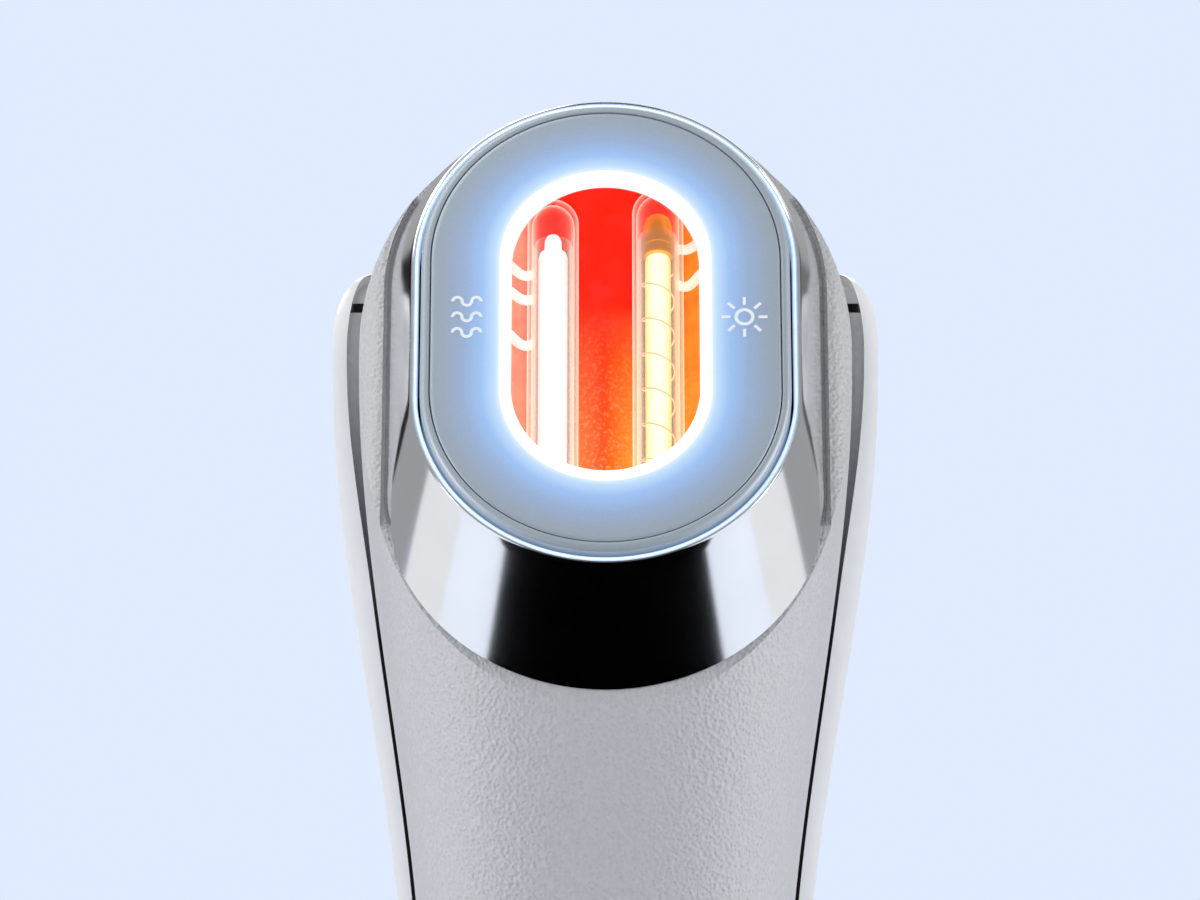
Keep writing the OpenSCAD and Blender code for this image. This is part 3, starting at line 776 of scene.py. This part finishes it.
def makeHalo(material):
    half = head["half"]
    halo = slotStack("haloGuide", [
        (15.42, half, -2.5), (15.42, half, -0.85), (15.48, half, -0.77), (15.6, half, -0.75),
        (15.7, half, -0.79), (15.73, half, -0.88), (15.73, half, -2.5)])
    smooth(halo)
    return finished(halo, "housing", "halo_clear", material, "halo_guide")


def boxCorner(halfX, halfY, r, turn):
    # a point on a rectangle with round corners, seen at an angle from its centre
    c = math.cos(turn)
    s = math.sin(turn)
    reach = 1 / max(abs(c) / halfX, abs(s) / halfY)
    x, y = c * reach, s * reach
    dx, dy = abs(x) - (halfX - r), abs(y) - (halfY - r)
    if dx > 0 and dy > 0:
        k = r / math.hypot(dx, dy)
        x = math.copysign(halfX - r + dx * k, x)
        y = math.copysign(halfY - r + dy * k, y)
    return x, y


def makeReflector(material):
    tray = {
        "halfX": 8.8, "halfY": 20.0, "r": 4.0,                    # inside of the tray
        "front": -4.8, "turn": -10.4, "back": -16.6,
        "trough": 4.5, "between": 2.2, "dip": 2.3,                # floor's shape behind the lamps
    }
    # rows are (grown by, depth), and the floor's rows find their own depth
    rows = [(1.0, tray["back"]), (1.0, tray["front"] - 0.1), (0.9, tray["front"])]
    rows += [(0.1, tray["front"]), (0.0, tray["front"] - 0.1), (0.0, tray["turn"])]
    rows += [(-0.15, -11.4), (-0.5, -12.2)]
    rows += [(-0.9 - i * 0.66, None) for i in range(12)]

    def place(ring, turn):
        grow, w = rows[ring]
        corner = max(tray["r"] + grow, 0.3)
        x, v = boxCorner(tray["halfX"] + grow, tray["halfY"] + grow, corner, turn)
        if w is None:                                             # a trough behind each tube
            across = (abs(x) - lamp["x"]) / tray["trough"]
            valley = math.sqrt(max(0, 1 - across ** 2))
            w = lamp["w"] - tray["between"] - tray["dip"] * valley
        return onHead(x, v, w)

    reflector = ringStack("reflector", 240, len(rows), place, "both")
    smooth(reflector, 50)
    return finished(reflector, "housing", "reflector_red", material, "reflector")


def tubeAlongHead(name, x, w, rings, count=48, ends="both"):
    # rings are (radius, place along the head)
    def place(ring, turn):
        r, v = rings[ring]
        return onHead(x + r * math.cos(turn), v, w + r * math.sin(turn))
    return ringStack(name, count, len(rings), place, ends)


def makeLamps(finishes):
    for side, top, name, node, slot in ((-1, 17.6, "warmBulb", "infrared_lamp", "bulb_clear"),
                                        (1, 18.6, "flashBulb", "flash_lamp", "bulb_clear")):
        turns = [math.radians(a) for a in range(0, 86, 9)]
        outer = [(lamp["r"], v) for v in (lamp["bottom"], -9, 0, 8)]
        outer += [(lamp["r"] * math.cos(a), top - lamp["r"] * (1 - math.sin(a))) for a in turns]
        inner = [(max(r - lamp["glass"], 0.05), v - (lamp["glass"] if v > 10 else 0))
                 for r, v in reversed(outer)]
        bulb = tubeAlongHead(name, side * lamp["x"], lamp["w"], outer + inner, 64, "loop")
        smooth(bulb, 60)
        finished(bulb, "housing", slot, finishes["bulb"], node)
    cores = ((-1, "warmCore", "infrared_filament", "infrared_hot", lamp["warmCore"], 12.6),
             (1, "flashCore", "flash_tube", "flash_hot", lamp["flashCore"], 12.2))
    for side, name, node, slot, r, top in cores:
        rings = [(r * 0.9, -17), (r, -16.8), (r, 0), (r, top - 0.5)]
        rings += [(r * 0.92, top - 0.15), (r * 0.7, top)]
        if side < 0:
            rings += [(0.72, top + 0.1), (0.7, top + 1.2), (0.5, top + 1.6)]
        core = tubeAlongHead(name, side * lamp["x"], lamp["w"], rings)
        smooth(core, 40)
        finished(core, "housing", slot, finishes[name], node)
    collarRings = [(1.22, 12.2), (1.32, 12.3), (1.32, 12.9), (1.16, 13.0), (1.16, 13.15), (1.3, 13.25),
                   (1.3, 13.8), (1.1, 13.95), (1.15, 14.2), (1.2, 15.2), (1.0, 15.9), (0.5, 16.3)]
    collar = tubeAlongHead("flashElectrode", lamp["x"], lamp["w"], collarRings)
    smooth(collar, 30)
    finished(collar, "housing", "electrode_amber", finishes["amber"], "lamp_electrodes")
    makeTriggerWire(finishes["wire"])
    makeLampEnds(finishes)


def curveTube(name, points, r, cyclic=False):
    line = bpy.data.curves.new(name, "CURVE")
    line.dimensions = "3D"
    line.bevel_depth = r * mm
    line.bevel_resolution = 4
    line.resolution_u = 8
    line.use_fill_caps = True
    spline = line.splines.new("NURBS")
    spline.points.add(len(points) - 1)
    for target, p in zip(spline.points, points):
        target.co = (*(p * mm), 1)
    spline.order_u = 4
    spline.use_endpoint_u = not cyclic
    spline.use_cyclic_u = cyclic
    piece = bpy.data.objects.new(name, line)
    bpy.context.scene.collection.objects.link(piece)
    deselect()
    piece.select_set(True)
    bpy.context.view_layer.objects.active = piece
    bpy.ops.object.convert(target="MESH")
    outwardFaces()
    return active()


def makeTriggerWire(material):
    # a fine wire wound along the flash tube
    winding = {"pitch": 3.4, "turns": 8, "steps": 14, "start": -16, "r": 1.42, "wire": 0.07}
    points = []
    for i in range(winding["turns"] * winding["steps"]):
        a = math.tau * i / winding["steps"]
        x = lamp["x"] + winding["r"] * math.cos(a)
        w = lamp["w"] + winding["r"] * math.sin(a)
        points.append(onHead(x, winding["start"] + winding["pitch"] * i / winding["steps"], w))
    wire = curveTube("triggerWire", points, winding["wire"])
    smooth(wire, 60)
    finished(wire, "housing", "trigger_metal", material, "trigger_wire")


def makeLampEnds(finishes):
    # inner sleeves of the tubes and the pale leads that cross to the reflector's wall
    for side, name, top in ((-1, "warmSleeve", 13.4), (1, "flashSleeve", 14.2)):
        r = 1.68
        rings = [(r, -17.2), (r, 0), (r, top - 0.4), (r * 0.93, top), (r * 0.86, top)]
        rings += [(r * 0.9, top - 0.5), (r * 0.92, 0), (r * 0.92, -17.2)]
        sleeve = tubeAlongHead(name, side * lamp["x"], lamp["w"], rings, 48, "loop")
        smooth(sleeve, 50)
        finished(sleeve, "housing", "bulb_clear", finishes["sleeve"])
    leads = {"left": ((13.2, 1.2), (10.6, 1.0), (6.4, 1.3)), "right": ((15.6, 1.0), (12.4, 1.5)), "r": 0.42}
    made = []
    for side, key in ((-1, "left"), (1, "right")):
        for v, sag in leads[key]:
            points = []
            for i in range(7):
                dip = sag * math.sin(math.pi * min(i / 5, 1))
                points.append(onHead(side * (5.2 + 0.6 * i), v - dip, -12.4 + 0.12 * i))
            made.append(curveTube("lead", points, leads["r"]))
    bundle = joined(made, "lampLeads")
    smooth(bundle, 60)
    finished(bundle, "housing", "lead_white", finishes["lead"])


def makeButtons(material):
    # a dished flash key and a flat power key
    def facing(z):
        return lambda across, along, depth: Vector((across, depth, z + along))
    flash = slotStack("flashKey", [
        (2.2, 0.1, 10.9), (2.2, 0.1, 12.6), (6.8, 5, 12.6), (6.8, 5, 13.5), (6.7, 5, 13.6),
        (5.7, 5, 13.6), (5.7, 5, 15.9), (5.6, 5, 16.15), (5.4, 5, 16.27), (5.1, 5, 16.3),
        (4.4, 4.6, 16.16), (3.2, 3.8, 15.98), (1.6, 2.4, 15.88), (0.4, 0.8, 15.85)],
        "both", 96, facing(123))
    smooth(flash, 40)
    finished(flash, "flash_key", "button_silver", material, "flash_button")
    power = slotStack("powerKey", [
        (1.8, 0.01, 10.6), (1.8, 0.01, 12.0), (5, 0.01, 12.0), (5, 0.01, 12.95), (4, 0.01, 13.0),
        (4, 0.01, 14.9), (3.93, 0.01, 15.1), (3.75, 0.01, 15.19), (3.4, 0.01, 15.2),
        (2.75, 0.01, 15.2), (2.6, 0.01, 15.12), (2.4, 0.01, 15.1), (1.0, 0.01, 15.1)],
        "both", 96, facing(97))
    smooth(power, 40)
    finished(power, "power_key", "button_silver", material, "power_button")


# ---- inner parts keep their own shape and get finishes

def dressNodes():
    ink = tint(226, 232, 240)
    # a faint glow painted on the printed marks
    inkPaintedGlow = (0.8, 0.85, 0.9)
    looks = {
        "heat_mark": plainFinish("printedHeat", ink, 0.5, glow=inkPaintedGlow, glowPower=0.12),
        "light_mark": plainFinish("printedLight", ink, 0.5, glow=inkPaintedGlow, glowPower=0.12),
        "storage_capacitor": plainFinish("drawnCan", (0.55, 0.56, 0.58), 0.3, 1.0, 300),
        "capacitor_sleeve": plainFinish("shrinkSleeve", (0.02, 0.02, 0.04), 0.3, coat=0.4),
        "transformer_core": plainFinish("ferrite", (0.05, 0.047, 0.045), 0.6),
        "transformer_coil": plainFinish("windingTape", (0.6, 0.33, 0.03), 0.35, coat=0.3),
        "choke": plainFinish("copperWinding", (0.6, 0.22, 0.06), 0.3, 0.9, 1500),
        "lamp_holder": plainFinish("firedCeramic", (0.8, 0.76, 0.68), 0.35, coat=0.3),
        "lamp_leads": plainFinish("leadWhite", (0.8, 0.8, 0.78), 0.5),
        "level_pipes": plainFinish("frostedPipe", (0.8, 0.88, 0.95), 0.25,
                                   glow=(0.6, 0.8, 1), glowPower=0.3),
        "socket_pin": plainFinish("nickelPin", (0.7, 0.69, 0.66), 0.22, 1.0),
        "socket_contacts": plainFinish("goldFlash", (0.85, 0.6, 0.2), 0.25, 1.0),
        "heat_sink": plainFinish("drawnAluminium", (0.72, 0.73, 0.75), 0.35, 1.0, 1800),
        "contact_springs": plainFinish("springWire", (0.6, 0.6, 0.62), 0.25, 1.0),
    }
    shared = (
        (plainFinish("boardGreen", (0.02, 0.16, 0.07), 0.35, coat=0.3), (
            "ring_board", "main_board", "key_board")),
        (plainFinish("ledCream", (0.85, 0.78, 0.5), 0.3), ("ring_leds", "level_leds")),
        (plainFinish("mouldedDark", (0.05, 0.052, 0.058), 0.5), (
            "plate_carrier", "head_frame", "chassis")),
        (plainFinish("mouldedBlack", (0.015, 0.015, 0.017), 0.45), (
            "contact_switches", "fan_frame", "fan_rotor", "control_chips", "trigger_coil",
            "key_switches", "power_socket")),
        (plainFinish("mouldedRed", (0.5, 0.02, 0.015), 0.4), (
            "switch_stems", "flash_stem", "power_stem")),
        (plainFinish("zincScrew", (0.62, 0.62, 0.64), 0.28, 1.0, 2200), (
            "frame_screws", "sink_screws", "fan_screws", "board_screws", "cap_screws")),
    )
    for material, names in shared:
        for name in names:
            looks[name] = material
    for name, material in looks.items():
        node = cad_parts[name]
        for slot in node.material_slots:
            slot.material = material
        if not node.material_slots:
            node.data.materials.append(material)


# ---- stage

def plainPlane(name, centre, size, turn, material, glossOnly=False):
    deselect()
    bpy.ops.mesh.primitive_plane_add(size=1, location=centre, rotation=turn)
    plane = active()
    plane.name = name
    plane.scale = (size[0], size[1], 1)
    plane.data.materials.append(material)
    if glossOnly:
        plane.visible_camera = False
        plane.visible_diffuse = False
        plane.visible_shadow = False
        plane.visible_transmission = False
    plane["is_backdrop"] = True
    return plane


def flatLight(name, colour, power):
    m = bpy.data.materials.new(name)
    m.use_nodes = True
    tree = m.node_tree
    tree.nodes.clear()
    out = tree.nodes.new("ShaderNodeOutputMaterial")
    glow = tree.nodes.new("ShaderNodeEmission")
    glow.inputs["Color"].default_value = (*colour, 1)
    glow.inputs["Strength"].default_value = power
    tree.links.new(glow.outputs[0], out.inputs[0])
    return m


def areaLight(name, place, aim, size, power, colour=(1, 1, 1)):
    source = bpy.data.lights.new(name, "AREA")
    source.shape = "RECTANGLE"
    source.size = size[0]
    source.size_y = size[1]
    source.energy = power
    source.color = colour
    light = bpy.data.objects.new(name, source)
    light.location = place
    light.rotation_euler = (Vector(aim) - Vector(place)).to_track_quat("-Z", "Y").to_euler()
    bpy.context.scene.collection.objects.link(light)
    return light


def makeStage():
    paleBlue = tint(224, 235, 255)
    world = bpy.data.worlds.new("paleRoom")
    bpy.context.scene.world = world
    world.use_nodes = True
    tree = world.node_tree
    back = tree.nodes["Background"]
    back.inputs["Color"].default_value = (0.9, 0.9, 0.91, 1)
    back.inputs["Strength"].default_value = 0.42
    seen = tree.nodes.new("ShaderNodeBackground")
    seen.inputs["Color"].default_value = (*paleBlue, 1)
    path = tree.nodes.new("ShaderNodeLightPath")
    mix = tree.nodes.new("ShaderNodeMixShader")
    out = tree.nodes["World Output"]
    tree.links.new(path.outputs["Is Camera Ray"], mix.inputs[0])
    tree.links.new(back.outputs[0], mix.inputs[1])
    tree.links.new(seen.outputs[0], mix.inputs[2])
    tree.links.new(mix.outputs[0], out.inputs[0])

    floor = Finish("paleFloor", rough=0.7)
    floor.feed("colour", floor.blend(floor.noise(6, 3), tint(226, 232, 243), tint(232, 238, 248)))
    plainPlane("floor", (0, 0, -0.0002), (1.6, 1.6), (0, 0, 0), floor.material)

    dark = flatLight("darkCard", (0, 0, 0), 0)
    grey = flatLight("greyCard", (0.1, 0.1, 0.1), 1)
    bright = flatLight("brightCard", (1, 1, 1), 0.95)
    plainPlane("lowDarkCard", (0, -0.215, 0.0005), (0.33, 0.37), (0, 0, 0), dark, True)
    plainPlane("leftDarkCard", (-0.13, 0.25, 0.17), (0.07, 0.13), (math.pi / 2, 0, 0), dark, True)
    plainPlane("rightGreyCard", (0.13, 0.25, 0.17), (0.05, 0.1), (math.pi / 2, 0, 0), grey, True)
    plainPlane("leftBrightCard", (-0.32, -0.05, 0.0), (0.2, 0.5), (0, math.radians(50), 0), bright, True)
    plainPlane("rightBrightCard", (0.32, -0.05, 0.0), (0.2, 0.5), (0, math.radians(-50), 0), bright, True)
    plainPlane("frontDarkCard", (0, -1.1, 0.25), (0.7, 0.9), (math.pi / 2, 0, 0), grey, True)

    areaLight("topLight", (-0.3, 0.05, 0.75), (0, 0, 0.15), (0.5, 0.5), 2.0)
    areaLight("leftLight", (-0.6, -0.25, 0.25), (0, 0, 0.15), (0.35, 0.6), 2.9)
    areaLight("rightLight", (0.6, -0.2, 0.3), (0, 0, 0.15), (0.35, 0.6), 3.1)
    areaLight("backLight", (0.1, 0.6, 0.5), (0, 0, 0.15), (0.6, 0.4), 1.2)


def makeCamera():
    view = {"place": (-0.00046, -0.615, 0.156), "lens": 219.4}
    camera = bpy.data.cameras.new("camera")
    camera.lens = view["lens"]
    camera.sensor_width = 36
    camera.clip_start = 0.01
    camera.clip_end = 20
    holder = bpy.data.objects.new("camera", camera)
    holder.location = view["place"]
    holder.rotation_euler = (math.pi / 2, 0, 0)
    bpy.context.scene.collection.objects.link(holder)
    bpy.context.scene.camera = holder


# ---- all together

bpy.context.scene.view_settings.view_transform = "Standard"
bpy.context.scene.view_settings.look = "None"
makeCamera()
makeStage()
print("stage ready")
makeFrontShell(grainedSilver())
print("front shell ready")
makeRearShell(glossWhite())
print("rear shell ready")
makeSeamShadeStrip(seamShade())
makeEndCap(glossWhite())
makeCollar(mirrorChrome())
makeHalo(lightGuide("haloLight", (0.3, 0.58, 1.0), 0.4))
print("body ready")
makeSkinPlate(satinPlate(True), satinPlate(False), lightGuide("ringLight", (0.75, 0.88, 1.0), 0.5),
              clearGlass("windowPane", (0.9, 0.95, 1.0), 0.0, 0.0))
makeReflector(reflectorPaintedGlow())
makeLamps({
    "bulb": clearGlass("bulbGlass", (1.0, 0.86, 0.74), 0.02, 0.8),
    "sleeve": clearGlass("sleeveGlass", (1.0, 0.8, 0.66), 0.06, 0.6),
    "warmCore": hotCore("warmGlow", -lamp["x"], lamp["warmCore"],
                        (1.0, 0.98, 0.97), (1.0, 0.68, 0.68), 1.2),
    "flashCore": hotCore("flashGlow", lamp["x"], lamp["flashCore"],
                         (1.0, 0.97, 0.72), (1.0, 0.52, 0.06), 1.35),
    # amber metal fitting with a painted glow standing for the flash lamp's light and highlights on it
    "amber": plainFinish("amberMetalPaintedGlow", (0.8, 0.36, 0.04), 0.25, 0.7, 700, (0.9, 0.3, 0.02), 0.55),
    # the trigger wire gets a painted glow standing for the flash lamp's light on it
    "wire": plainFinish("triggerMetalPaintedGlow", (0.9, 0.7, 0.45), 0.3, 0.6, 900, (1.0, 0.75, 0.45), 0.6),
    # the leads get a painted glow standing for the lamps' light on them
    "lead": plainFinish("leadPaintedGlow", (0.95, 0.9, 0.88), 0.4, 0.0, 900, (1.0, 0.85, 0.8), 0.75),
})
print("head ready")
makeButtons(plainFinish("keySilver", tint(200, 203, 207), 0.28, 0.3, 1600, coat=0.3))
dressNodes()
print("keys and inner parts ready")

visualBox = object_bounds()
boxes = {"cad": cadBox, "visual": visualBox}
{key: [[float(x) for x in corner] for corner in box] for key, box in boxes.items()}
